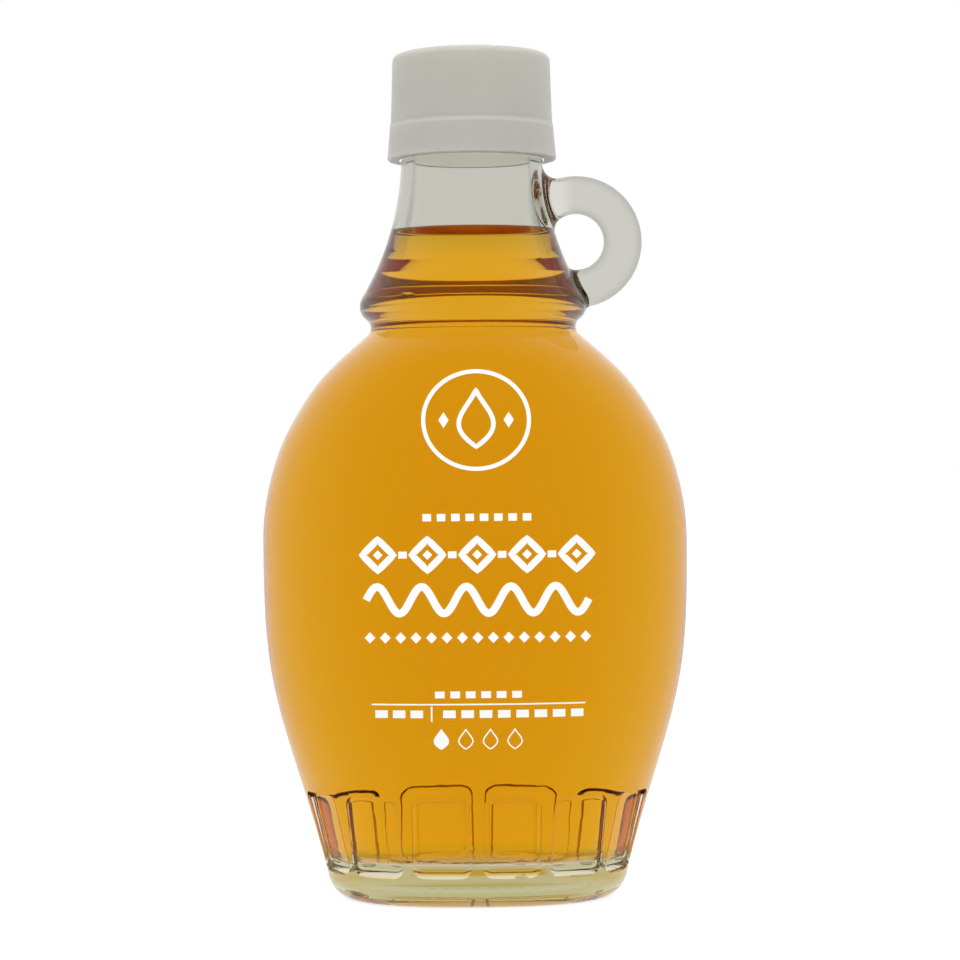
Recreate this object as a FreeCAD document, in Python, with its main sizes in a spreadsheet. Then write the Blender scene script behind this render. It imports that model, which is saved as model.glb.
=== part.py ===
"""A flat-sided glass syrup flask with a loop handle at its neck, its syrup and its screw cap.

The origin is the centre of the flat underside. +Z is up, the broad faces look along -Y and +Y,
and the handle stands out on the +X side. Sizes are in millimetres.
"""

import FreeCAD
import Part
import Sketcher
import math
import os

VECTOR = FreeCAD.Vector

# A size that begins with "=" is worked out in the sheet from the sizes above it.
SIZES = (
    # the glass outside: half sizes of its oval base and belly
    ("base_half_width", 26.5),
    ("base_half_depth", 21.8),
    ("belly_half_width", 38.8),
    ("belly_half_depth", 26.6),
    ("squareness", 0.4),
    ("heel_radius", 5.0),
    # its round parts, from the neck outwards to the ring and the waist under the ring
    ("neck_radius", 12.95),
    ("ring_overhang", 7.85),
    ("ring_radius", "=neck_radius + ring_overhang"),
    ("ring_rounding", 3.05),
    ("waist_groove", 2.2),
    ("waist_radius", "=ring_radius - waist_groove"),
    ("waist_rounding", 1.8),
    # its heights, each from the one below
    ("belly_height", 62.0),
    ("shoulder_rise", 41.8),
    ("waist_height", "=belly_height + shoulder_rise"),
    ("ring_rise", 3.9),
    ("ring_height", "=waist_height + ring_rise"),
    ("flare_rise", 28.3),
    ("neck_height", "=ring_height + flare_rise"),
    ("rim_rise", 15.6),
    ("lip_height", "=neck_height + rim_rise"),
    # the glass inside
    ("body_wall", 2.8),
    ("neck_wall", 2.3),
    ("floor_thickness", 7.6),
    ("floor_dome_radius", 14.0),
    ("floor_dome_rise", 1.4),
    ("floor_corner_radius", 5.0),
    # the loop handle, a round bar bent into a ring that sinks into the neck
    ("handle_ring_radius", 8.6),
    ("handle_bar_radius", 3.5),
    ("handle_reach", 6.0),
    ("handle_rise", 11.6),
    ("handle_height", "=ring_height + handle_rise"),
    ("handle_upper_root_radius", 2.5),
    ("handle_lower_root_radius", 1.4),
    # the ring of flat windows that is pressed into the glass above the heel
    ("window_count", 14),
    ("window_gap", 0.6),
    ("window_bottom", "=heel_radius + window_gap"),
    ("window_rise", 14.6),
    ("window_top", "=window_bottom + window_rise"),
    ("window_depth", 0.7),
    ("window_corner_radius", 2.0),
    ("window_cove_radius", 1.4),
    ("rib_width", 1.8),
    # the syrup
    ("syrup_rise", 12.8),
    ("syrup_level", "=ring_height + syrup_rise"),
    # the cap: its bore, then the wall at its top, at its step and at its hem
    ("cap_clearance", 0.2),
    ("cap_bore_radius", "=neck_radius + cap_clearance"),
    ("cap_top_wall", 1.25),
    ("cap_top_radius", "=cap_bore_radius + cap_top_wall"),
    ("cap_step_wall", 1.65),
    ("cap_step_radius", "=cap_bore_radius + cap_step_wall"),
    ("cap_step", 0.15),
    ("cap_hem_wall", 2.35),
    ("cap_hem_radius", "=cap_bore_radius + cap_hem_wall"),
    ("cap_top_thickness", 2.1),
    ("cap_height", "=lip_height + cap_top_thickness"),
    ("cap_skirt", 17.2),
    ("cap_hem_height", "=lip_height - cap_skirt"),
    ("cap_step_drop", 10.7),
    ("cap_step_height", "=lip_height - cap_step_drop"),
    ("cap_rim_rounding", 1.3),
    ("cap_hem_rounding", 0.4),
)

# Each row: share of the rise from the base to the belly, of the widening, and of the deepening.
BASE_TO_BELLY = (
    (0.0, 0.0, 0.0),
    (0.15, 0.18, 0.27),
    (0.3, 0.4, 0.49),
    (0.45, 0.635, 0.67),
    (0.6, 0.835, 0.81),
    (0.75, 0.952, 0.91),
    (0.88, 0.99, 0.97),
)
# Each row: share of the rise from the belly to the waist, of the narrowing, and of the thinning.
BELLY_TO_WAIST = (
    (0.0, 0.0, 0.0),
    (0.17, 0.01, 0.0),
    (0.335, 0.072, 0.013),
    (0.5, 0.185, 0.052),
    (0.645, 0.345, 0.12),
    (0.765, 0.518, 0.23),
    (0.86, 0.708, 0.42),
    (0.93, 0.872, 0.7),
    (0.97, 0.967, 0.92),
)
# Each row: share of that rise, and how far the round section lies inside the waist, within the ring.
WITHIN_RING = (
    (1.0, 0.65),
    (1.025, 1.7),
    (1.05, 2.75),
)

SECTION_POINTS = 32
SQUARENESS_FADE = 0.45  # the share of the belly-to-waist rise over which the ovals turn round
WINDOW_STEPS = 720  # steps along an oval when it is divided into windows
TOLERANCE = 1e-3  # what counts as lying on a face or at a height
RING_UNDERSIDE = math.radians(-115)  # where the ring's round underside ends, within the body
MOUTH_OVERRUN = 1.0  # how far the cavity runs out past the lip

# how Sketcher numbers a line's ends, the sketch's origin and its upright axis
FIRST_END = 1
SECOND_END = 2
ORIGIN = -1
VERTICAL_AXIS = -2


def between(start, end, share):
    """The value that lies this share of the way from start to end."""
    return start + (end - start) * share


def make_sheet(doc):
    """The spreadsheet that holds every driving size, and the sizes read back from it."""
    sheet = doc.addObject("Spreadsheet::Sheet", "Sizes")
    for row, (name, value) in enumerate(SIZES, start=1):
        sheet.set(f"A{row}", name)
        sheet.set(f"B{row}", str(value))
        sheet.setAlias(f"B{row}", name)
    doc.recompute()
    return {name: float(sheet.get(name)) for name, value in SIZES}


def outside_rows(size):
    """Half-width, half-depth and height of the body outside, from the base to inside the ring."""
    rows = []
    for rise, widening, deepening in BASE_TO_BELLY:
        rows.append((
            between(size["base_half_width"], size["belly_half_width"], widening),
            between(size["base_half_depth"], size["belly_half_depth"], deepening),
            size["belly_height"] * rise,
        ))
    for rise, narrowing, thinning in BELLY_TO_WAIST:
        rows.append((
            between(size["belly_half_width"], size["waist_radius"], narrowing),
            between(size["belly_half_depth"], size["waist_radius"], thinning),
            between(size["belly_height"], size["waist_height"], rise),
        ))
    for rise, inset in WITHIN_RING:
        radius = size["waist_radius"] - inset
        rows.append((radius, radius, between(size["belly_height"], size["waist_height"], rise)))
    return rows


def inside_rows(size):
    """The same for the cavity: the floor first, then every row above it, less the wall."""
    floor = size["floor_thickness"]
    rows = [(*outline_at(size, floor), floor)]
    rows += [row for row in outside_rows(size) if row[2] > floor]
    wall = size["body_wall"]
    return [(half_width - wall, half_depth - wall, height) for half_width, half_depth, height in rows]


def outline_at(size, height):
    """Half-width and half-depth of the body outside at one height, on straight lines between rows."""
    rows = outside_rows(size)
    for lower, upper in zip(rows, rows[1:]):
        if lower[2] <= height < upper[2]:
            share = (height - lower[2]) / (upper[2] - lower[2])
            return between(lower[0], upper[0], share), between(lower[1], upper[1], share)
    raise ValueError(f"no part of the body is at the height {height}")


def roundness_power(size, height):
    """The power of the superellipse at one height: above 2 on the body, and 2 from the waist up."""
    fade = SQUARENESS_FADE * (size["waist_height"] - size["belly_height"])
    share = (size["waist_height"] - height) / fade
    return 2 + size["squareness"] * min(max(share, 0), 1)


def oval_point(size, half_width, half_depth, height, angle):
    """The point of one superellipse at an angle from the +X side: an ellipse's point, moved outwards."""
    power = roundness_power(size, height)
    across = math.cos(angle)
    along = math.sin(angle)
    swell = (abs(across) ** power + abs(along) ** power) ** (-1 / power)
    return VECTOR(half_width * across * swell, half_depth * along * swell, height)


def oval_wire(size, half_width, half_depth, height):
    """One section of the glass, as a closed smooth curve."""
    turn = 2 * math.pi / SECTION_POINTS
    points = [
        oval_point(size, half_width, half_depth, height, turn * step)
        for step in range(SECTION_POINTS)
    ]
    curve = Part.BSplineCurve()
    curve.interpolate(Points=points, PeriodicFlag=True, Parameters=list(range(SECTION_POINTS + 1)))
    return Part.Wire(curve.toShape())


def lofted(size, rows):
    """A closed solid with one smooth side through the section of every row."""
    wires = [oval_wire(size, *row) for row in rows]
    return Part.makeLoft(wires, True, False, False)


def edges_at_height(shape, height):
    """The edges of a shape that lie in one level plane."""
    found = []
    for edge in shape.Edges:
        box = edge.BoundBox
        if abs(box.ZMin - height) < TOLERANCE and abs(box.ZMax - height) < TOLERANCE:
            found.append(edge)
    return found


def flare_arc(size):
    """Centre radius and curve radius of the neck's flare: it touches the upright rim and the ring."""
    inset = size["ring_radius"] - size["ring_rounding"] - size["neck_radius"]
    rise = size["neck_height"] - size["ring_height"]
    rounding = size["ring_rounding"]
    curve = (inset ** 2 + rise ** 2 - rounding ** 2) / (2 * (rounding + inset))
    return size["neck_radius"] + curve, curve


def turned(corners, curves):
    """A solid turned about the Z axis. Each curve is a middle point (None for a straight line)."""
    edges = []
    for start, end, middle in zip(corners, corners[1:] + corners[:1], curves):
        if middle is None:
            edges.append(Part.LineSegment(start, end).toShape())
        else:
            edges.append(Part.Arc(start, middle, end).toShape())
    face = Part.Face(Part.Wire(edges))
    return face.revolve(VECTOR(), VECTOR(0, 0, 1), 360)


def on_circle(centre, radius, angle):
    """A point of a circle in the half plane of a turned outline, at an angle from the outward side."""
    return centre + VECTOR(radius * math.cos(angle), 0, radius * math.sin(angle))


def neck_form(size):
    """The turned part of the glass: the ring, the flare above it and the upright rim."""
    rounding = size["ring_rounding"]
    ring = VECTOR(size["ring_radius"] - rounding, 0, size["ring_height"])
    centre_radius, curve = flare_arc(size)
    flare = VECTOR(centre_radius, 0, size["neck_height"])
    climb = math.atan2(flare.z - ring.z, flare.x - ring.x)
    touch = on_circle(ring, rounding, climb)
    under = on_circle(ring, rounding, RING_UNDERSIDE)
    middle_of_flare = on_circle(flare, curve, (climb + 2 * math.pi) / 2)
    corners = [
        VECTOR(0, 0, under.z),
        under,
        touch,
        VECTOR(size["neck_radius"], 0, size["neck_height"]),
        VECTOR(size["neck_radius"], 0, size["lip_height"]),
        VECTOR(0, 0, size["lip_height"]),
    ]
    curves = [None, on_circle(ring, rounding, 0), middle_of_flare, None, None, None]
    return turned(corners, curves)


def neck_cavity_form(size):
    """The turned part of the cavity: straight past the ring, then at an even wall from the flare."""
    centre_radius, curve = flare_arc(size)
    inner_curve = curve + size["neck_wall"]
    straight_radius = size["waist_radius"] - size["body_wall"]
    drop = math.sqrt(inner_curve ** 2 - (centre_radius - straight_radius) ** 2)
    flare = VECTOR(centre_radius, 0, size["neck_height"])
    bend = VECTOR(straight_radius, 0, flare.z - drop)
    climb = math.atan2(drop, centre_radius - straight_radius)
    mouth_radius = size["neck_radius"] - size["neck_wall"]
    bottom = size["waist_height"] - size["ring_rounding"]
    top = size["lip_height"] + MOUTH_OVERRUN
    corners = [
        VECTOR(0, 0, bottom),
        VECTOR(straight_radius, 0, bottom),
        bend,
        VECTOR(mouth_radius, 0, size["neck_height"]),
        VECTOR(mouth_radius, 0, top),
        VECTOR(0, 0, top),
    ]
    middle_of_flare = on_circle(flare, inner_curve, math.pi + climb / 2)
    return turned(corners, [None, None, middle_of_flare, None, None, None])


def outside_form(size):
    """The solid form of the glass from its heel to its lip, without handle or windows."""
    body = lofted(size, outside_rows(size))
    body = body.makeFillet(size["heel_radius"], edges_at_height(body, 0))
    form = body.fuse(neck_form(size))
    creases = []
    for edge in form.Edges:
        if size["waist_height"] < edge.BoundBox.ZMin and edge.BoundBox.ZMax < size["ring_height"]:
            creases.append(edge)
    return form.makeFillet(size["waist_rounding"], creases)


def floor_dome(size):
    """The ball whose top stands up through the middle of the floor, with its poles off to the sides."""
    rise = size["floor_dome_rise"]
    ball_radius = (size["floor_dome_radius"] ** 2 + rise ** 2) / (2 * rise)
    centre = VECTOR(0, 0, size["floor_thickness"] + rise - ball_radius)
    return Part.makeSphere(ball_radius, centre, VECTOR(0, 1, 0))


def cavity_form(size):
    """The space inside the glass: a floor with round corners and a low dome, up through the mouth."""
    body = lofted(size, inside_rows(size))
    body = body.makeFillet(size["floor_corner_radius"], edges_at_height(body, size["floor_thickness"]))
    body = body.cut(floor_dome(size))
    return body.fuse(neck_cavity_form(size))


def divided_oval(size, height, count):
    """Angles that divide the outside oval at one height into equal lengths, from the front centre."""
    half_width, half_depth = outline_at(size, height)
    front = -math.pi / 2
    turn = 2 * math.pi / WINDOW_STEPS
    angles = [front + turn * step for step in range(WINDOW_STEPS + 1)]
    points = [oval_point(size, half_width, half_depth, height, angle) for angle in angles]
    lengths = [0.0]
    for one, other in zip(points, points[1:]):
        lengths.append(lengths[-1] + one.distanceToPoint(other))
    marks = []
    step = 0
    for number in range(count):
        target = lengths[-1] * number / count
        while lengths[step + 1] < target:
            step += 1
        marks.append(angles[step])
    return marks + [marks[0] + 2 * math.pi]


def coved_panel(width, height, thickness, corner_radius, cove_radius):
    """A flat block with round corners, whose back face, at the origin, curves round to its sides."""
    block = Part.makeBox(width, height, thickness, VECTOR(-width / 2, -height / 2, 0))
    corners = [edge for edge in block.Edges if abs(edge.tangentAt(edge.FirstParameter).z) > 0.5]
    block = block.makeFillet(corner_radius, corners)
    return block.makeFillet(cove_radius, edges_at_height(block, 0))


def window_cutters(size):
    """One cutter for each window: flat, square to the glass, and sunk past the window's own edges."""
    bottom = size["window_bottom"]
    top = size["window_top"]
    middle = (bottom + top) / 2
    marks = divided_oval(size, middle, int(size["window_count"]))
    half_width, half_depth = outline_at(size, middle)
    low_width, low_depth = outline_at(size, bottom)
    high_width, high_depth = outline_at(size, top)
    cutters = []
    for start, end in zip(marks, marks[1:]):
        left = oval_point(size, half_width, half_depth, middle, start)
        right = oval_point(size, half_width, half_depth, middle, end)
        centre_angle = (start + end) / 2
        low = oval_point(size, low_width, low_depth, bottom, centre_angle)
        high = oval_point(size, high_width, high_depth, top, centre_angle)
        chord = right - left
        across = VECTOR(chord).normalize()
        outward = across.cross(high - low).normalize()
        upward = outward.cross(across)
        width = chord.Length - size["rib_width"]
        tall = high.distanceToPoint(low)
        panel = coved_panel(
            width, tall, size["body_wall"], size["window_corner_radius"], size["window_cove_radius"])
        seat = (left + right) / 2 - outward * size["window_depth"]
        panel.Placement = FreeCAD.Placement(FreeCAD.Matrix(
            across.x, upward.x, outward.x, seat.x,
            across.y, upward.y, outward.y, seat.y,
            across.z, upward.z, outward.z, seat.z,
            0, 0, 0, 1))
        cutters.append(panel)
    return Part.makeCompound(cutters)


def add_form(doc, name, shape):
    """A document object that holds a shape made by Part's own functions."""
    form = doc.addObject("Part::Feature", name)
    form.Shape = shape
    form.Placement = FreeCAD.Placement()
    return form


def handle_form(size):
    """The loop handle: an upright ring whose inner side, with its seam, is lost in the neck."""
    ring = Part.makeTorus(size["handle_ring_radius"], size["handle_bar_radius"])
    upright = FreeCAD.Rotation(VECTOR(1, 0, 0), 90)
    seam_to_neck = FreeCAD.Rotation(VECTOR(0, 0, 1), 180)
    centre = VECTOR(size["neck_radius"] + size["handle_reach"], 0, size["handle_height"])
    ring.Placement = FreeCAD.Placement(centre, upright.multiply(seam_to_neck))
    return ring


def on_bar(size, face):
    """Whether a face is part of the handle's round bar."""
    surface = face.Surface
    if not isinstance(surface, Part.Toroid):
        return False
    return abs(surface.MajorRadius - size["handle_ring_radius"]) < TOLERANCE


def root_edges(size, form, end):
    """The edges round the upper or lower end of the handle's bar, where it meets the neck."""
    edges = []
    for edge in form.Edges:
        sides = [on_bar(size, face) for face in form.ancestorsOfType(edge, Part.Face)]
        rise = edge.CenterOfMass.z - size["handle_height"]
        at_end = rise > size["handle_bar_radius"] if end == "upper" else rise < -size["handle_bar_radius"]
        if any(sides) and not all(sides) and at_end:
            edges.append(edge)
    return edges


def rooted_form(size):
    """The glass outside and the handle in one, with a fillet at the upper root, then at the lower."""
    form = outside_form(size).fuse(handle_form(size))
    for end in ("upper", "lower"):
        form = form.makeFillet(size[f"handle_{end}_root_radius"], root_edges(size, form, end))
    return form


def add_bottle(doc, size):
    """The glass, in one piece with its handle: the rooted outside, then hollowed and pressed."""
    hollow = doc.addObject("Part::Cut", "Hollow")
    hollow.Base = add_form(doc, "Outside", rooted_form(size))
    hollow.Tool = add_form(doc, "Cavity", cavity_form(size))
    bottle = doc.addObject("Part::Cut", "Bottle")
    bottle.Base = hollow
    bottle.Tool = add_form(doc, "Windows", window_cutters(size))
    bottle.Label = "bottle"
    return bottle


def add_syrup(doc):
    """The syrup: all of the cavity below its level."""
    below_level = doc.addObject("Part::Box", "BelowLevel")
    below_level.setExpression("Length", "Sizes.belly_half_width * 2")
    below_level.setExpression("Width", "Sizes.belly_half_width * 2")
    below_level.setExpression("Height", "Sizes.syrup_level")
    below_level.setExpression("Placement.Base.x", "-Sizes.belly_half_width")
    below_level.setExpression("Placement.Base.y", "-Sizes.belly_half_width")
    syrup = doc.addObject("Part::Common", "Syrup")
    syrup.Base = doc.getObject("Cavity")
    syrup.Tool = below_level
    syrup.Label = "syrup"
    return syrup


def origin_plane(body, role):
    """One of a body's own origin planes."""
    return next(plane for plane in body.Origin.OriginFeatures if plane.Role == role)


def bind_corner(sketch, line, name, radius, height):
    """Ties the first end of a sketch line to a radius (None on the axis) and a height of the sheet."""
    if radius is None:
        sketch.addConstraint(Sketcher.Constraint("PointOnObject", line, FIRST_END, VERTICAL_AXIS))
    else:
        sketch.addConstraint(Sketcher.Constraint("DistanceX", ORIGIN, FIRST_END, line, FIRST_END, 1))
        sketch.renameConstraint(sketch.ConstraintCount - 1, name + "_radius")
        sketch.setExpression(f"Constraints.{name}_radius", radius)
    sketch.addConstraint(Sketcher.Constraint("DistanceY", ORIGIN, FIRST_END, line, FIRST_END, 1))
    sketch.renameConstraint(sketch.ConstraintCount - 1, name + "_height")
    sketch.setExpression(f"Constraints.{name}_height", height)


def cap_profile(body):
    """The half section of the cap, one straight line from each corner to the next."""
    sketch = body.newObject("Sketcher::SketchObject", "CapProfile")
    sketch.AttachmentSupport = [(origin_plane(body, "XZ_Plane"), "")]
    sketch.MapMode = "FlatFace"
    corners = (
        ("lip", None, "Sizes.lip_height"),
        ("bore_top", "Sizes.cap_bore_radius", "Sizes.lip_height"),
        ("bore_hem", "Sizes.cap_bore_radius", "Sizes.cap_hem_height"),
        ("hem", "Sizes.cap_hem_radius", "Sizes.cap_hem_height"),
        ("band", "Sizes.cap_step_radius + Sizes.cap_step", "Sizes.cap_step_height"),
        ("step", "Sizes.cap_step_radius", "Sizes.cap_step_height + Sizes.cap_step"),
        ("rim", "Sizes.cap_top_radius", "Sizes.cap_height"),
        ("crown", None, "Sizes.cap_height"),
    )
    for number in range(len(corners)):
        sketch.addGeometry(Part.LineSegment(VECTOR(number, 0, 0), VECTOR(number + 1, 0, 0)))
    for number in range(len(corners)):
        following = (number + 1) % len(corners)
        joint = Sketcher.Constraint("Coincident", number, SECOND_END, following, FIRST_END)
        sketch.addConstraint(joint)
    for number, (name, radius, height) in enumerate(corners):
        bind_corner(sketch, number, name, radius, height)
    return sketch


def add_rounding(body, name, base, height, radius):
    """A fillet on the widest edge of a turned body at one height, with its radius in the sheet."""
    level = edges_at_height(base.Shape, height)
    widest = max(level, key=lambda edge: edge.Length)
    number = next(n for n, edge in enumerate(base.Shape.Edges, start=1) if edge.isSame(widest))
    fillet = body.newObject("PartDesign::Fillet", name)
    fillet.Base = (base, [f"Edge{number}"])
    fillet.setExpression("Radius", radius)
    return fillet


def add_cap(doc, size):
    """The cap: a plain cup turned over the glass rim, with a flared band below a small step."""
    body = doc.addObject("PartDesign::Body", "Cap")
    body.Label = "cap"
    sketch = cap_profile(body)
    turned = body.newObject("PartDesign::Revolution", "CapTurned")
    turned.Profile = sketch
    turned.ReferenceAxis = (sketch, ["V_Axis"])
    turned.Angle = 360
    doc.recompute()
    rim = add_rounding(body, "RimRounding", turned, size["cap_height"], "Sizes.cap_rim_rounding")
    doc.recompute()
    body.Tip = add_rounding(
        body, "HemRounding", rim, size["cap_hem_height"], "Sizes.cap_hem_rounding")
    return body


def check(doc, parts):
    """Stops if any object of the document failed or any sub-part has no sound shape."""
    for item in doc.Objects:
        bad = [state for state in item.State if state in ("Invalid", "Error")]
        if bad:
            raise RuntimeError(f"{item.Name} did not build: {item.State}")
    for part in parts:
        if part.Shape.isNull() or not part.Shape.isValid():
            raise RuntimeError(f"{part.Label} has no sound shape")
        print(part.Label, len(part.Shape.Solids), "solid", round(part.Shape.Volume / 1000, 2), "ml")


def main():
    doc = FreeCAD.newDocument("SyrupBottle")
    size = make_sheet(doc)
    bottle = add_bottle(doc, size)
    syrup = add_syrup(doc)
    cap = add_cap(doc, size)
    parts = [bottle, syrup, cap]
    doc.recompute()
    check(doc, parts)
    os.makedirs("parts", exist_ok=True)
    for part in parts:
        part.Shape.exportStep(f"parts/{part.Label}.step")


main()
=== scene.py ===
"""Looks of a flat-sided glass syrup flask: its glass, syrup, cap and print, on a pale floor.

Lengths are metres in the frame's own axes: +Z up, the broad printed face towards -Y, and the loop
handle on the +X side. The print is a plain design of rings, drops, diamonds and dashes.
"""
import math

import bmesh
import bpy
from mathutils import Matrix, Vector
from mathutils.bvhtree import BVHTree


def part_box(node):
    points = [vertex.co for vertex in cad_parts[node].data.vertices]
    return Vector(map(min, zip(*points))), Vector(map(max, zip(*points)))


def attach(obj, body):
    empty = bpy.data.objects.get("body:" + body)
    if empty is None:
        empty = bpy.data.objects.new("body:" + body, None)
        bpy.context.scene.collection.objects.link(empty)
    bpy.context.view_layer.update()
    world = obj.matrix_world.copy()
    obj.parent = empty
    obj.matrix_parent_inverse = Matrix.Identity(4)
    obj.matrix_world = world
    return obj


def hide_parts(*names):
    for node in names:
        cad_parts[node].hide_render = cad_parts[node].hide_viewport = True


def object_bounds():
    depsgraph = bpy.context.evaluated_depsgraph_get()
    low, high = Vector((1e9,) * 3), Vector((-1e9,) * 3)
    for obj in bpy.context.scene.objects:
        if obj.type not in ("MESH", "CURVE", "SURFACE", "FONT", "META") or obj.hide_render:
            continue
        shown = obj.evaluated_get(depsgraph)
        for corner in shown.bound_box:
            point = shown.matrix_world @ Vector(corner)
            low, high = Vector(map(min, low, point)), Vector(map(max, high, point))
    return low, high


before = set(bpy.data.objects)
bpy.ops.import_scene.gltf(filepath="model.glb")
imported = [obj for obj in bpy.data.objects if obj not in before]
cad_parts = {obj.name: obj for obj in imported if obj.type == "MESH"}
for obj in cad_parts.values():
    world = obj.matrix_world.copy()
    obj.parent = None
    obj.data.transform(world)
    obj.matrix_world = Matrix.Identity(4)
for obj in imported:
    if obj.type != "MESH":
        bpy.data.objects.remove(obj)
CAD_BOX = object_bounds()
MM = 0.001

# the camera: a long lens level with the belly, turned a little as the object stands in its picture
LENS = 110.4
SENSOR = 36.0
CAMERA_DISTANCE = 540 * MM
CAMERA_HEIGHT = 75.8 * MM
CAMERA_SIDE = 1.0 * MM
CAMERA_ROLL = math.radians(0.49)
CAMERA_NEAR = 10 * MM

# the glass: its tints as linear red, green and blue, and its depth of colour; the grey neck and handle
# tints and their deeper edge tints are painted shade
GLASS_BODY_TINT = (0.99, 0.90, 0.86)
# painted shade: the neck and handle glass is tinted grey, and a deeper grey where it turns away
GLASS_NECK_PAINTED_SHADE = (0.765, 0.76, 0.725)
GLASS_NECK_EDGE_PAINTED_SHADE = (0.42, 0.41, 0.385)
GLASS_HANDLE_PAINTED_SHADE = (0.66, 0.65, 0.625)
GLASS_HANDLE_EDGE_PAINTED_SHADE = (0.33, 0.33, 0.30)
GLASS_ABSORPTION = (0.35, 0.40, 0.10)
GLASS_DENSITY = 20.0
GLASS_IOR = 1.38
GLASS_RIPPLE_SCALE = 60
GLASS_RIPPLE_STRETCH = (1, 1, 2.2)
GLASS_RIPPLE_STRENGTH = 0.35
FRONT_GLOSS = (0.05, 0.05, 0.05)

# where the glass changes its tint: above the base, where the painted reflection bands give way to the
# body's own tint, and up the neck and out along the handle, where painted shade begins
BASE_REFLECTION_HEIGHTS = (8.0 * MM, 10.0 * MM)
NECK_SHADE_HEIGHTS = (112 * MM, 123 * MM)
HANDLE_SHADE_HEIGHTS = (106 * MM, 109 * MM)
HANDLE_SHADE_REACHES = (16 * MM, 19 * MM)

# how far the glass turns away where its painted edge shade begins and is full
NECK_EDGE_SHADE_SPAN = (0.36, 0.44)
NECK_OUTSIDE = 12.6 * MM  # the bore is narrower than this, and the outside wider
HANDLE_EDGE_SHADE_SPAN = (0.05, 0.85)

# the base's tints by share of its height: painted reflection, level bands that stand in for the syrup
# showing in its thick glass
BASE_TOP = 9 * MM
BASE_PAINTED_REFLECTION_BANDS = (
    (0.00, (0.88, 0.66, 0.50)),
    (0.14, (0.80, 0.58, 0.32)),
    (0.23, (0.76, 0.60, 0.28)),
    (0.30, (0.96, 0.93, 0.84)),
    (0.40, (0.91, 0.82, 0.60)),
    (0.47, (0.85, 0.66, 0.32)),
    (0.63, (0.85, 0.66, 0.30)),
    (0.72, (0.90, 0.90, 0.82)),
)

# a painted amber gleam, a painted reflection of the syrup in the base: each side as where it begins and
# where it is full
PAINTED_GLEAM_TINT = (0.94, 0.42, 0.03)
PAINTED_GLEAM_BOTTOM = (5.9 * MM, 6.3 * MM)
PAINTED_GLEAM_TOP = (7.6 * MM, 7.1 * MM)
PAINTED_GLEAM_LEFT = (-12.5 * MM, -10 * MM)
PAINTED_GLEAM_RIGHT = (13.5 * MM, 11 * MM)

# the syrup: its colour, how far it reaches into the wall, and the form of its surface
SYRUP_TINT = (1.0, 0.82, 1.0)
SYRUP_ABSORPTION = (0.95, 0.871, 0.06)
SYRUP_DENSITY = 130.0
SYRUP_IOR = 1.37
SYRUP_OVERLAP = 0.12 * MM
SURFACE_DIP = 1.7 * MM
MENISCUS_RISE = 2.5 * MM
MENISCUS_REACH = 2.0 * MM
SURFACE_RINGS = 28

# the cap: white plastic painted grey as painted shade, with a painted highlight on its step and a
# painted glow inside
CAP_SHADED_GREY = (0.44, 0.43, 0.395)
CAP_SHADED_PALE = (0.475, 0.465, 0.425)
CAP_STEP_PAINTED_HIGHLIGHT = (0.53, 0.525, 0.48)
CAP_INSIDE = (0.95, 0.95, 0.93)
CAP_INSIDE_PAINTED_GLOW = (0.52, 0.52, 0.50)  # a painted glow that stands in for light that comes through the plastic from outside
CAP_BORE = 13.3 * MM  # just over the radius of the cap's inside
CAP_ABOVE_LIP = 0.2 * MM  # how far over the lip the colours of the inside reach
CAP_HIGHLIGHT_HEIGHT = 140.4 * MM  # a painted highlight where the step above the band catches the light
CAP_HIGHLIGHT_REACH = 0.5 * MM
CAP_MARKS_SCALE = 140
CAP_RIPPLE_SCALE = 900
CAP_RIPPLE_STRENGTH = 0.25
CAP_ROUGHNESS = 0.42
CAP_GLOSS = 0.4
CAP_LIGHT_SPREAD = (1.0, 0.95, 0.9)
CAP_LIGHT_DEPTH = 4 * MM

RIPPLE_DETAIL = 2
RIPPLE_DEPTH = 0.02 * MM

# the print: its enamel, how far it lies above and below the glass, and how finely it follows it
PRINT_COLOUR = (0.93, 0.93, 0.91)
PRINT_SHADE = 0.97
PRINT_MARKS_SCALE = 400
PRINT_ROUGHNESS = 0.6
PRINT_PROUD = 0.04 * MM
PRINT_SUNK = 0.06 * MM
PRINT_STEP = 0.8 * MM

# the ring, with a drop and two diamonds in it; places across are from the print's middle
PRINT_MIDDLE = 0.4 * MM
EMBLEM_HEIGHT = 86.3 * MM
EMBLEM_RADII = (9.25 * MM, 8.55 * MM)
EMBLEM_LINE = 0.72 * MM
EMBLEM_DROP = (3.7 * MM, 10.0 * MM)
EMBLEM_DROP_LIFT = 0.3 * MM
EMBLEM_DROP_LINE = 0.8 * MM
EMBLEM_DIAMOND = (0.9 * MM, 1.4 * MM)
EMBLEM_DIAMOND_PLACE = 5.7 * MM

# rows of dashes, each as its count, its spacing, and a dash's width and height
UPPER_DASHES_HEIGHT = 69.3 * MM
UPPER_DASHES = (8, 2.5 * MM, 1.5 * MM, 1.3 * MM)
LOWER_DASHES_HEIGHT = 38.3 * MM
LOWER_DASHES = (6, 2.7 * MM, 1.7 * MM, 1.2 * MM)

# the bold band of linked diamonds
BAND_HEIGHT = 62.8 * MM
BAND_COUNT = 5
BAND_SPACING = 8.7 * MM
BAND_RADIUS = 2.75 * MM
BAND_LINE = 1.2 * MM
BAND_INNER_RADIUS = 0.85 * MM
BAND_LINKS = (BAND_COUNT - 1, BAND_SPACING, 1.5 * MM, 1.2 * MM)

# the bold wave
WAVE_HEIGHT = 54.9 * MM
WAVE_WIDTH = 39 * MM
WAVE_SWING = 2.35 * MM
WAVE_LINE = 1.35 * MM
WAVE_COUNT = 5
WAVE_STEPS = 120

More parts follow.
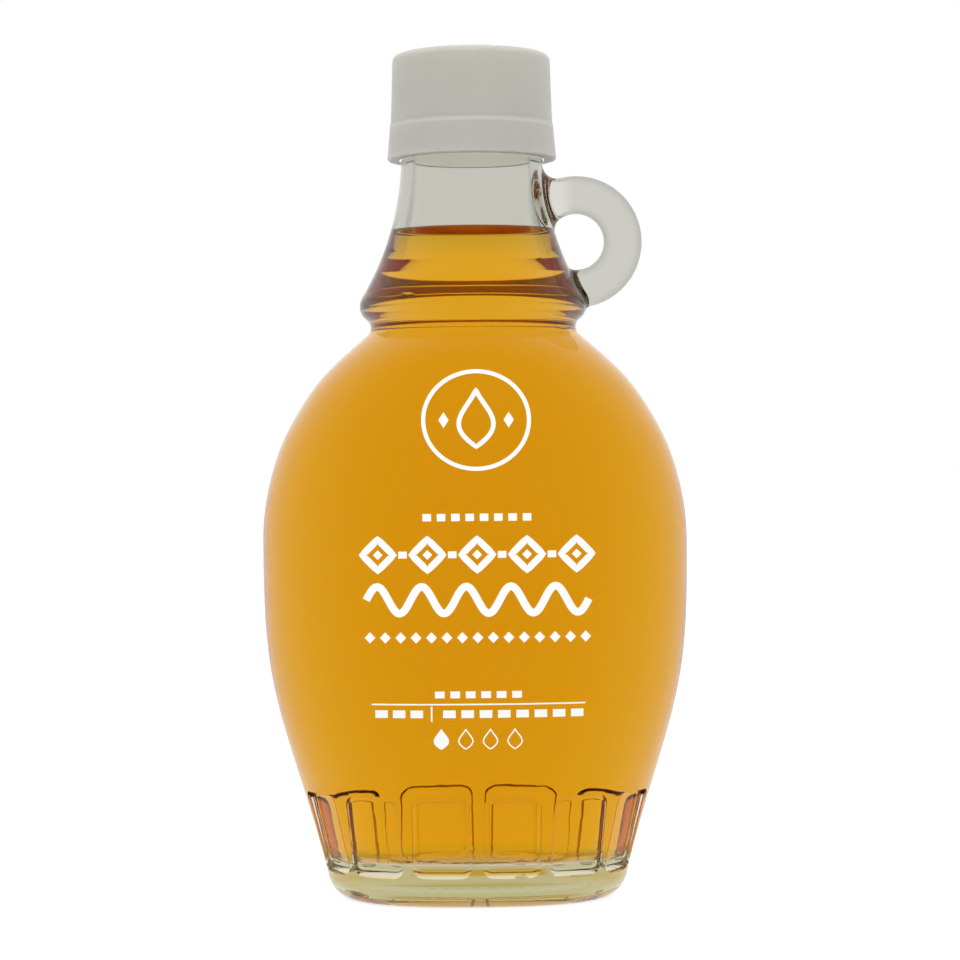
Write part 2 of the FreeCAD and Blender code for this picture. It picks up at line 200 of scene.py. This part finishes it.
# the row of small diamonds
SMALL_DIAMONDS_HEIGHT = 48.3 * MM
SMALL_DIAMONDS_COUNT = 15
SMALL_DIAMONDS_SPACING = 2.7 * MM
SMALL_DIAMOND = (0.95 * MM, 1.0 * MM)

# the rule, and the divided row of dashes below it
RULE_HEIGHT = 36.6 * MM
RULE_SIZE = (37.5 * MM, 0.26 * MM)
DIVIDED_HEIGHT = 34.9 * MM
DIVIDER_PLACE = -8.2 * MM
DIVIDER_SIZE = (0.28 * MM, 2.7 * MM)
LEFT_DASHES_PLACE = -13.9 * MM
LEFT_DASHES = (3, 3.1 * MM, 2.2 * MM, 1.35 * MM)
RIGHT_DASHES_PLACE = 6.1 * MM
RIGHT_DASHES = (8, 3.2 * MM, 2.2 * MM, 1.35 * MM)

# the scale of drops, the first one filled; a drop's size is its radius and its height
DROPS_HEIGHT = 30.5 * MM
DROPS_COUNT = 4
DROPS_SPACING = 4.3 * MM
FIRST_DROP_PLACE = -6.55 * MM
FILLED_DROP = (1.65 * MM, 3.8 * MM)
OPEN_DROP = (1.5 * MM, 3.5 * MM)
OPEN_DROP_LINE = 0.22 * MM
DROP_TIP_FULLNESS = 0.35
DROP_FOOT_FULLNESS = 0.85
DROP_END = 0.02  # a filled drop's first and last rows lie this share in from its ends
DIAMOND_SHARES = (-0.98, -0.5, 0, 0.5, 0.98)

# light; each lamp has a name, a place, a size in metres and a power in watts
LIGHT_BOUNCES = 28
WORLD_LEVEL = 0.5
FLOOR_SIZE = 40
FLOOR_COLOUR = 0.8
FLOOR_GLOW = 0.75
FLOOR_ROUGHNESS = 0.9
LAMP_TARGET = (0, 0, CAD_BOX[1][2] * 0.6)
LAMPS = (
    ("key", (0.45, -0.55, 0.55), 0.6, 3.2),
    ("fill", (-0.6, -0.4, 0.35), 0.6, 2.2),
    ("top", (0.0, 0.1, 0.8), 0.5, 2.0),
)

WELD_DISTANCE = 1e-6  # points nearer than this count as one
IN_FRONT = 1.0  # how far in front of the axis the rays towards the front glass start


def new_object(name, data):
    """Links an object for a mesh, a lamp or a camera into the scene."""
    item = bpy.data.objects.new(name, data)
    bpy.context.scene.collection.objects.link(item)
    return item


def principled(name):
    """A new material and its Principled shader."""
    material = bpy.data.materials.new(name)
    material.use_nodes = True
    return material, material.node_tree.nodes["Principled BSDF"]


def set_inputs(shader, **values):
    """Sets sockets of a shader by name, with underscores for spaces."""
    for name, value in values.items():
        socket = shader.inputs[name.replace("_", " ")]
        socket.default_value = (*value, 1) if socket.type == "RGBA" else value


def add_node(tree, kind, **settings):
    """A new node with some of its plain settings."""
    node = tree.nodes.new(kind)
    for name, value in settings.items():
        setattr(node, name, value)
    return node


def add_absorption(material, colour, density):
    """Fills a glass or liquid material with plain absorbing colour."""
    tree = material.node_tree
    volume = tree.nodes.new("ShaderNodeVolumeAbsorption")
    volume.inputs["Color"].default_value = (*colour, 1)
    volume.inputs["Density"].default_value = density
    tree.links.new(volume.outputs["Volume"], tree.nodes["Material Output"].inputs["Volume"])


def object_place(tree):
    """A point's place in the object's own axes."""
    return tree.nodes.new("ShaderNodeTexCoord").outputs["Object"]


def object_axis(tree, axis):
    """A point's place along one of the object's own axes."""
    parts = tree.nodes.new("ShaderNodeSeparateXYZ")
    tree.links.new(object_place(tree), parts.inputs[0])
    return parts.outputs[axis]


def axis_distance(tree):
    """How far a point lies from the object's upright axis."""
    level = add_node(tree, "ShaderNodeVectorMath", operation="MULTIPLY")
    level.inputs[1].default_value = (1, 1, 0)
    distance = add_node(tree, "ShaderNodeVectorMath", operation="LENGTH")
    tree.links.new(object_place(tree), level.inputs[0])
    tree.links.new(level.outputs["Vector"], distance.inputs[0])
    return distance.outputs["Value"]


def span_share(tree, value, span, kind="SMOOTHSTEP"):
    """A value that goes from 0 to 1 while another goes over a span."""
    share = add_node(tree, "ShaderNodeMapRange", interpolation_type=kind)
    share.inputs["From Min"].default_value = span[0]
    share.inputs["From Max"].default_value = span[1]
    tree.links.new(value, share.inputs["Value"])
    return share.outputs["Result"]


def climb(tree, axis, span):
    """A value that climbs from 0 to 1 over a span of one of the object's axes."""
    return span_share(tree, object_axis(tree, axis), span)


def edge_share(tree, span):
    """A value that climbs from 0 to 1 as the surface turns away."""
    return span_share(tree, tree.nodes.new("ShaderNodeLayerWeight").outputs["Facing"], span)


def compared(tree, value, comparison, limit):
    """A value of 1 where another is on one side of a limit, else 0."""
    test = add_node(tree, "ShaderNodeMath", operation=comparison)
    test.inputs[1].default_value = limit
    tree.links.new(value, test.inputs[0])
    return test.outputs[0]


def product(tree, one, other):
    """The product of two values."""
    times = add_node(tree, "ShaderNodeMath", operation="MULTIPLY")
    tree.links.new(one, times.inputs[0])
    tree.links.new(other, times.inputs[1])
    return times.outputs[0]


def mixed_colour(tree, share, first, second):
    """A colour that goes from the first to the second as the share goes from 0 to 1."""
    mix = add_node(tree, "ShaderNodeMix", data_type="RGBA")
    sockets = [socket for socket in mix.inputs if socket.type == "RGBA"]
    for socket, colour in zip(sockets, (first, second)):
        if isinstance(colour, tuple):
            socket.default_value = (*colour, 1)
        else:
            tree.links.new(colour, socket)
    tree.links.new(share, mix.inputs[0])
    return next(socket for socket in mix.outputs if socket.type == "RGBA")


def speckled(tree, scale, first, second):
    """A colour that wanders between two as faint marks in the surface."""
    noise = tree.nodes.new("ShaderNodeTexNoise")
    noise.inputs["Scale"].default_value = scale
    tree.links.new(object_place(tree), noise.inputs["Vector"])
    return mixed_colour(tree, noise.outputs["Fac"], first, second)


def add_ripple(shader, scale, strength, stretch=(1, 1, 1)):
    """Shallow waves in a surface, as moulded glass and plastic have."""
    tree = shader.id_data
    mapping = tree.nodes.new("ShaderNodeMapping")
    mapping.inputs["Scale"].default_value = stretch
    noise = tree.nodes.new("ShaderNodeTexNoise")
    noise.inputs["Scale"].default_value = scale
    noise.inputs["Detail"].default_value = RIPPLE_DETAIL
    bump = tree.nodes.new("ShaderNodeBump")
    bump.inputs["Strength"].default_value = strength
    bump.inputs["Distance"].default_value = RIPPLE_DEPTH
    tree.links.new(object_place(tree), mapping.inputs["Vector"])
    tree.links.new(mapping.outputs["Vector"], noise.inputs["Vector"])
    tree.links.new(noise.outputs["Fac"], bump.inputs["Height"])
    tree.links.new(bump.outputs["Normal"], shader.inputs["Normal"])


def base_painted_reflection(tree):
    """The painted reflection bands in the base, with a painted gleam of the syrup."""
    ramp = tree.nodes.new("ShaderNodeValToRGB")
    stops = ramp.color_ramp.elements
    stops.remove(stops[-1])
    stops[0].color = (*BASE_PAINTED_REFLECTION_BANDS[0][1], 1)
    for place, colour in BASE_PAINTED_REFLECTION_BANDS[1:]:
        stops.new(place).color = (*colour, 1)
    height = span_share(tree, object_axis(tree, "Z"), (0, BASE_TOP), "LINEAR")
    tree.links.new(height, ramp.inputs["Fac"])
    # where the painted gleam lies
    level = product(tree, climb(tree, "Z", PAINTED_GLEAM_BOTTOM), climb(tree, "Z", PAINTED_GLEAM_TOP))
    middle = product(tree, climb(tree, "X", PAINTED_GLEAM_LEFT), climb(tree, "X", PAINTED_GLEAM_RIGHT))
    return mixed_colour(tree, product(tree, level, middle), ramp.outputs["Color"], PAINTED_GLEAM_TINT)


def neck_painted_shade(tree):
    """The neck's painted shade: grey, and deeper where its outside turns away."""
    outside = compared(tree, axis_distance(tree), "GREATER_THAN", NECK_OUTSIDE)
    edge = product(tree, edge_share(tree, NECK_EDGE_SHADE_SPAN), outside)
    return mixed_colour(tree, edge, GLASS_NECK_PAINTED_SHADE, GLASS_NECK_EDGE_PAINTED_SHADE)


def handle_painted_shade(tree):
    """The handle's painted shade: grey, and deeper where it turns away."""
    edge = edge_share(tree, HANDLE_EDGE_SHADE_SPAN)
    return mixed_colour(tree, edge, GLASS_HANDLE_PAINTED_SHADE, GLASS_HANDLE_EDGE_PAINTED_SHADE)


def glass_material():
    """Clear glass with its own tint in the body, painted reflection bands in the base, and painted
    shade in the neck and the handle.
    """
    material, shader = principled("flask_glass")
    tree = material.node_tree
    # the body's own tint, painted reflection bands in the base, and painted shade in the neck and
    # handle
    tint_and_painted_light = mixed_colour(tree, climb(tree, "Z", BASE_REFLECTION_HEIGHTS), base_painted_reflection(tree), GLASS_BODY_TINT)
    tint_and_painted_light = mixed_colour(tree, climb(tree, "Z", NECK_SHADE_HEIGHTS), tint_and_painted_light, neck_painted_shade(tree))
    on_handle = product(
        tree, climb(tree, "Z", HANDLE_SHADE_HEIGHTS), climb(tree, "X", HANDLE_SHADE_REACHES))
    tint_and_painted_light = mixed_colour(tree, on_handle, tint_and_painted_light, handle_painted_shade(tree))
    tree.links.new(tint_and_painted_light, shader.inputs["Base Color"])
    set_inputs(
        shader, Transmission_Weight=1.0, IOR=GLASS_IOR, Roughness=0.0, Specular_Tint=FRONT_GLOSS)
    add_ripple(shader, GLASS_RIPPLE_SCALE, GLASS_RIPPLE_STRENGTH, GLASS_RIPPLE_STRETCH)
    add_absorption(material, GLASS_ABSORPTION, GLASS_DENSITY)
    return material


def syrup_material():
    """Clear golden amber syrup."""
    material, shader = principled("amber_syrup")
    set_inputs(
        shader, Base_Color=SYRUP_TINT, Transmission_Weight=1.0, IOR=SYRUP_IOR, Roughness=0.0,
        Specular_Tint=FRONT_GLOSS)
    add_absorption(material, SYRUP_ABSORPTION, SYRUP_DENSITY)
    return material


def cap_inside(tree):
    """A value of 1 on the cap's inside wall up to the lip, else 0."""
    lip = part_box("bottle")[1][2]
    within = compared(tree, axis_distance(tree), "LESS_THAN", CAP_BORE)
    below = compared(tree, object_axis(tree, "Z"), "LESS_THAN", lip + CAP_ABOVE_LIP)
    return product(tree, within, below)


def cap_material():
    """Satin white plastic painted grey as painted shade, that lets some light through, with faint flow
    marks, a painted highlight on the step and a painted glow inside.
    """
    material, shader = principled("satin_white_plastic")
    tree = material.node_tree
    # painted shade: the white plastic is painted grey, with paler flow marks
    outside = speckled(tree, CAP_MARKS_SCALE, CAP_SHADED_GREY, CAP_SHADED_PALE)
    # a painted highlight along the step above the band
    rise = climb(tree, "Z", (CAP_HIGHLIGHT_HEIGHT - CAP_HIGHLIGHT_REACH, CAP_HIGHLIGHT_HEIGHT))
    fall = climb(tree, "Z", (CAP_HIGHLIGHT_HEIGHT + CAP_HIGHLIGHT_REACH, CAP_HIGHLIGHT_HEIGHT))
    outside = mixed_colour(tree, product(tree, rise, fall), outside, CAP_STEP_PAINTED_HIGHLIGHT)
    inside = cap_inside(tree)
    colour = mixed_colour(tree, inside, outside, CAP_INSIDE)
    # a painted glow inside the cap stands in for light through the plastic
    painted_glow = mixed_colour(tree, inside, (0, 0, 0), CAP_INSIDE_PAINTED_GLOW)
    tree.links.new(colour, shader.inputs["Base Color"])
    tree.links.new(painted_glow, shader.inputs["Emission Color"])
    set_inputs(
        shader, Roughness=CAP_ROUGHNESS, Specular_IOR_Level=CAP_GLOSS, Emission_Strength=1.0,
        Subsurface_Weight=1.0, Subsurface_Radius=CAP_LIGHT_SPREAD, Subsurface_Scale=CAP_LIGHT_DEPTH)
    add_ripple(shader, CAP_RIPPLE_SCALE, CAP_RIPPLE_STRENGTH)
    return material


def print_material():
    """Matt white enamel with a faintly uneven tone."""
    material, shader = principled("white_enamel")
    tree = material.node_tree
    shade = tuple(PRINT_SHADE * part for part in PRINT_COLOUR)
    colour = speckled(tree, PRINT_MARKS_SCALE, shade, PRINT_COLOUR)
    tree.links.new(colour, shader.inputs["Base Color"])
    set_inputs(shader, Roughness=PRINT_ROUGHNESS)
    return material


def paint(mesh, material):
    """Gives a mesh one material."""
    mesh.materials.clear()
    mesh.materials.append(material)


def joined_mesh(node):
    """A CAD node's mesh as an edit mesh with its split vertices joined."""
    work = bmesh.new()
    work.from_mesh(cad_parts[node].data)
    bmesh.ops.remove_doubles(work, verts=work.verts, dist=WELD_DISTANCE)
    return work


def made_object(name, work, material):
    """An object of one material from an edit mesh, which ends here."""
    bmesh.ops.recalc_face_normals(work, faces=work.faces)
    mesh = bpy.data.meshes.new(name)
    work.to_mesh(mesh)
    work.free()
    paint(mesh, material)
    return new_object(name, mesh)


def outward(vert):
    """The level direction to a vertex from the upright axis."""
    return Vector((vert.co.x, vert.co.y, 0)).normalized()


def drawn_out(work, edges):
    """Draws a new loop out of an open edge loop: its vertices and its open edges."""
    geometry = bmesh.ops.extrude_edge_only(work, edges=edges)["geom"]
    verts = [item for item in geometry if isinstance(item, bmesh.types.BMVert)]
    drawn = [item for item in geometry if isinstance(item, bmesh.types.BMEdge)]
    return verts, [edge for edge in drawn if edge.is_boundary]


def meniscus(inset):
    """How far the surface stands above the CAD level, this far in from the glass."""
    return MENISCUS_RISE * math.exp(-inset / MENISCUS_REACH) - SURFACE_DIP


def opened_syrup(level):
    """The CAD syrup without its top face, grown just into the wall, and the rim left open."""
    work = joined_mesh("syrup")
    work.normal_update()
    top = [
        face for face in work.faces
        if all(abs(vert.co.z - level) < WELD_DISTANCE for vert in face.verts)]
    bmesh.ops.delete(work, geom=top, context="FACES")
    rim = [edge for edge in work.edges if edge.is_boundary]
    rim_verts = {vert for edge in rim for vert in edge.verts}
    for vert in work.verts:
        away = outward(vert) if vert in rim_verts else vert.normal
        vert.co += away * SYRUP_OVERLAP
    return work, rim


def make_syrup(glass):
    """The syrup: it reaches just into the wall, and its surface curves up at the edge."""
    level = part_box("syrup")[1][2]
    work, rim = opened_syrup(level)

    # the rim climbs the wall, and the surface then comes down from it ring by ring
    wall_top = level + meniscus(0)
    ring, loop = drawn_out(work, rim)
    for vert in ring:
        away = outward(vert)
        vert.co = glass.ray_cast(Vector((0, 0, wall_top)), away)[0] + away * SYRUP_OVERLAP
        vert.co.z = wall_top
    for number in range(1, SURFACE_RINGS):
        share = (number / SURFACE_RINGS) ** 2
        before = ((number - 1) / SURFACE_RINGS) ** 2
        ring, loop = drawn_out(work, loop)
        for vert in ring:
            reach = Vector((vert.co.x, vert.co.y, 0)).length / (1 - before)
            vert.co = outward(vert) * reach * (1 - share)
            vert.co.z = level + meniscus(reach * share)
    bmesh.ops.contextual_create(work, geom=loop)

    syrup = made_object("syrup_fill", work, syrup_material())
    syrup.data.polygons.foreach_set("use_smooth", [True] * len(syrup.data.polygons))
    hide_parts("syrup")
    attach(syrup, "root")


class Print:
    """The white print: flat shapes in the front view, laid on the glass as thin raised pieces."""

    def __init__(self, glass):
        self.glass = glass
        self.work = bmesh.new()

    def on_glass(self, x, z, proud):
        """The point of the front glass at a place of the front view, moved outwards."""
        start = Vector((x, -IN_FRONT, z))
        place, normal, _, _ = self.glass.ray_cast(start, Vector((0, 1, 0)))
        return place + normal * proud

    def strip(self, left, right, closed=False):
        """A piece between two lines of places, with as many places each."""
        rings = []
        for one, two in zip(left, right):
            corners = ((one, PRINT_PROUD), (two, PRINT_PROUD), (two, -PRINT_SUNK), (one, -PRINT_SUNK))
            rings.append([
                self.work.verts.new(self.on_glass(x, z, proud)) for (x, z), proud in corners])
        following = rings[1:] + rings[:1] if closed else rings[1:]
        for ring, other in zip(rings, following):
            for side in range(4):
                turn = (side + 1) % 4
                self.work.faces.new((ring[side], ring[turn], other[turn], other[side]))
        if not closed:
            self.work.faces.new(rings[0][::-1])
            self.work.faces.new(rings[-1])

    def stroke(self, points, width, closed=False):
        """A line of even width along places of the front view."""
        count = len(points)
        left = []
        right = []
        for number, (x, z) in enumerate(points):
            if closed:
                before = points[number - 1]
                after = points[(number + 1) % count]
            else:
                before = points[max(number - 1, 0)]
                after = points[min(number + 1, count - 1)]
            along = Vector((after[0] - before[0], after[1] - before[1])).normalized()
            side = Vector((-along.y, along.x)) * width / 2
            left.append((x + side.x, z + side.y))
            right.append((x - side.x, z - side.y))
        self.strip(left, right, closed)

    def bar(self, x, z, width, height):
        """A level rectangle about a middle place."""
        steps = max(2, round(width / PRINT_STEP) + 1)
        places = [x - width / 2 + width * step / (steps - 1) for step in range(steps)]
        self.strip([(p, z + height / 2) for p in places], [(p, z - height / 2) for p in places])

    def dashes(self, x, z, count, spacing, width, height):
        """A level row of short bars about a middle place."""
        for number in range(count):
            self.bar(x + (number - (count - 1) / 2) * spacing, z, width, height)

    def filled(self, rows):
        """A filled shape, from its rows from the top down: each a middle, a height and a half-width."""
        left = [(x - half, z) for x, z, half in rows]
        right = [(x + half, z) for x, z, half in rows]
        self.strip(left, right)

    def finish(self):
        """The print as one object."""
        item = made_object("front_print", self.work, print_material())
        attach(item, "root")


def ellipse(x, z, radius_x, radius_z, steps=72):
    """Places round an ellipse."""
    turns = [2 * math.pi * step / steps for step in range(steps)]
    return [(x + radius_x * math.cos(turn), z + radius_z * math.sin(turn)) for turn in turns]


def drop_half_width(share, radius):
    """The half-width of a drop, this share of the way down from its tip."""
    return radius * math.sin(math.pi * share) * (DROP_TIP_FULLNESS + DROP_FOOT_FULLNESS * share)


def drop_outline(x, z, radius, tall, steps=28):
    """Places round a drop, from its tip down one side and up the other."""
    shares = [step / steps for step in range(steps + 1)]
    right = [(x + drop_half_width(share, radius), z + tall * (0.5 - share)) for share in shares]
    left = [(2 * x - across, up) for across, up in right[1:-1]]
    return right + left[::-1]


def drop_rows(x, z, radius, tall, steps=16):
    """Rows of a filled drop, from its tip down."""
    shares = [DROP_END + (1 - 2 * DROP_END) * step / steps for step in range(steps + 1)]
    return [(x, z + tall * (0.5 - share), drop_half_width(share, radius)) for share in shares]


def diamond_rows(x, z, half_width, half_height):
    """Rows of a filled diamond, from its top down."""
    return [(x, z - half_height * share, half_width * (1 - abs(share))) for share in DIAMOND_SHARES]


def diamond_outline(x, z, radius, steps=5):
    """Places round a diamond, with steps along each side."""
    corners = ((0, 1), (1, 0), (0, -1), (-1, 0))
    outline = []
    for (x0, z0), (x1, z1) in zip(corners, corners[1:] + corners[:1]):
        for step in range(steps):
            share = step / steps
            across = x0 + (x1 - x0) * share
            up = z0 + (z1 - z0) * share
            outline.append((x + radius * across, z + radius * up))
    return outline


def print_emblem(art, x, z):
    """A ring with a drop in it, and a small diamond on each side of the drop."""
    art.stroke(ellipse(x, z, *EMBLEM_RADII), EMBLEM_LINE, closed=True)
    art.stroke(drop_outline(x, z + EMBLEM_DROP_LIFT, *EMBLEM_DROP), EMBLEM_DROP_LINE, closed=True)
    for side in (-1, 1):
        art.filled(diamond_rows(x + side * EMBLEM_DIAMOND_PLACE, z, *EMBLEM_DIAMOND))


def print_band(art, x, z):
    """A bold band of linked diamonds, each with a small one inside."""
    for number in range(BAND_COUNT):
        place = x + (number - (BAND_COUNT - 1) / 2) * BAND_SPACING
        art.stroke(diamond_outline(place, z, BAND_RADIUS), BAND_LINE, closed=True)
        art.filled(diamond_rows(place, z, BAND_INNER_RADIUS, BAND_INNER_RADIUS))
    art.dashes(x, z, *BAND_LINKS)


def print_wave(art, x, z):
    """A bold wave."""
    wave = []
    for step in range(WAVE_STEPS + 1):
        share = step / WAVE_STEPS
        swing = math.sin(share * 2 * math.pi * WAVE_COUNT)
        wave.append((x + (share - 0.5) * WAVE_WIDTH, z + WAVE_SWING * swing))
    art.stroke(wave, WAVE_LINE)


def print_small_diamonds(art, x, z):
    """A row of small diamonds."""
    for number in range(SMALL_DIAMONDS_COUNT):
        place = x + (number - (SMALL_DIAMONDS_COUNT - 1) / 2) * SMALL_DIAMONDS_SPACING
        art.filled(diamond_rows(place, z, *SMALL_DIAMOND))


def print_drops(art, x, z):
    """A scale of drops, the first one filled."""
    art.filled(drop_rows(x + FIRST_DROP_PLACE, z, *FILLED_DROP))
    for number in range(1, DROPS_COUNT):
        place = x + FIRST_DROP_PLACE + number * DROPS_SPACING
        art.stroke(drop_outline(place, z, *OPEN_DROP), OPEN_DROP_LINE, closed=True)


def make_print(glass):
    """The whole print, row by row from its top."""
    art = Print(glass)
    x = PRINT_MIDDLE
    print_emblem(art, x, EMBLEM_HEIGHT)
    art.dashes(x, UPPER_DASHES_HEIGHT, *UPPER_DASHES)
    print_band(art, x, BAND_HEIGHT)
    print_wave(art, x, WAVE_HEIGHT)
    print_small_diamonds(art, x, SMALL_DIAMONDS_HEIGHT)
    art.dashes(x, LOWER_DASHES_HEIGHT, *LOWER_DASHES)
    art.bar(x, RULE_HEIGHT, *RULE_SIZE)
    art.bar(x + DIVIDER_PLACE, DIVIDED_HEIGHT, *DIVIDER_SIZE)
    art.dashes(x + LEFT_DASHES_PLACE, DIVIDED_HEIGHT, *LEFT_DASHES)
    art.dashes(x + RIGHT_DASHES_PLACE, DIVIDED_HEIGHT, *RIGHT_DASHES)
    print_drops(art, x, DROPS_HEIGHT)
    art.finish()


def seen_by(tree, *kinds):
    """A value of 1 for rays of these kinds, else 0."""
    path = tree.nodes.new("ShaderNodeLightPath")
    value = path.outputs[kinds[0]]
    for kind in kinds[1:]:
        join = add_node(tree, "ShaderNodeMath", operation="MAXIMUM")
        tree.links.new(value, join.inputs[0])
        tree.links.new(path.outputs[kind], join.inputs[1])
        value = join.outputs[0]
    return value


def make_floor():
    """A plain pale floor that keeps the shadow and shows white in gloss and through glass."""
    bpy.ops.mesh.primitive_plane_add(size=FLOOR_SIZE)
    floor = bpy.context.object
    floor.name = "floor"
    material, shader = principled("pale_floor")
    set_inputs(
        shader, Base_Color=(FLOOR_COLOUR,) * 3, Roughness=FLOOR_ROUGHNESS,
        Emission_Color=(FLOOR_GLOW,) * 3)
    tree = material.node_tree
    tree.links.new(seen_by(tree, "Is Camera Ray"), shader.inputs["Emission Strength"])
    white = tree.nodes.new("ShaderNodeEmission")
    mix = tree.nodes.new("ShaderNodeMixShader")
    tree.links.new(seen_by(tree, "Is Glossy Ray", "Is Transmission Ray"), mix.inputs[0])
    tree.links.new(shader.outputs[0], mix.inputs[1])
    tree.links.new(white.outputs[0], mix.inputs[2])
    tree.links.new(mix.outputs[0], tree.nodes["Material Output"].inputs["Surface"])
    paint(floor.data, material)


def make_world():
    """Soft light from all round, and white behind the object and in its gloss."""
    world = bpy.data.worlds.new("studio")
    bpy.context.scene.world = world
    world.use_nodes = True
    tree = world.node_tree
    background = tree.nodes["Background"]
    background.inputs["Color"].default_value = (1, 1, 1, 1)
    level = tree.nodes.new("ShaderNodeMapRange")
    level.inputs["To Min"].default_value = WORLD_LEVEL
    level.inputs["To Max"].default_value = 1.0
    seen = seen_by(tree, "Is Camera Ray", "Is Glossy Ray", "Is Transmission Ray")
    tree.links.new(seen, level.inputs["Value"])
    tree.links.new(level.outputs["Result"], background.inputs["Strength"])


def add_lamp(name, place, size, power):
    """A soft square lamp turned towards the object, which does not show in the glass."""
    light = bpy.data.lights.new(name, "AREA")
    light.size = size
    light.energy = power
    lamp = new_object(name, light)
    lamp.location = place
    lamp.rotation_euler = (Vector(LAMP_TARGET) - Vector(place)).to_track_quat("-Z", "Y").to_euler()
    lamp.visible_glossy = False
    lamp.visible_transmission = False


def make_camera():
    """The camera, in front of the printed face."""
    data = bpy.data.cameras.new("camera")
    data.lens = LENS
    data.sensor_width = SENSOR
    data.clip_start = CAMERA_NEAR
    camera = new_object("camera", data)
    camera.location = (CAMERA_SIDE, -CAMERA_DISTANCE, CAMERA_HEIGHT)
    camera.rotation_euler = (math.radians(90), CAMERA_ROLL, 0)
    bpy.context.scene.camera = camera


bpy.context.scene.view_settings.view_transform = "Standard"
bpy.context.scene.cycles.max_bounces = LIGHT_BOUNCES
bpy.context.scene.cycles.transmission_bounces = LIGHT_BOUNCES
bpy.context.scene.cycles.glossy_bounces = LIGHT_BOUNCES

glass_work = joined_mesh("bottle")
glass_tree = BVHTree.FromBMesh(glass_work)
glass_work.free()
for node, material in (("bottle", glass_material()), ("cap", cap_material())):
    paint(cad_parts[node].data, material)
make_syrup(glass_tree)
make_print(glass_tree)
make_floor()
make_world()
for lamp in LAMPS:
    add_lamp(*lamp)
make_camera()
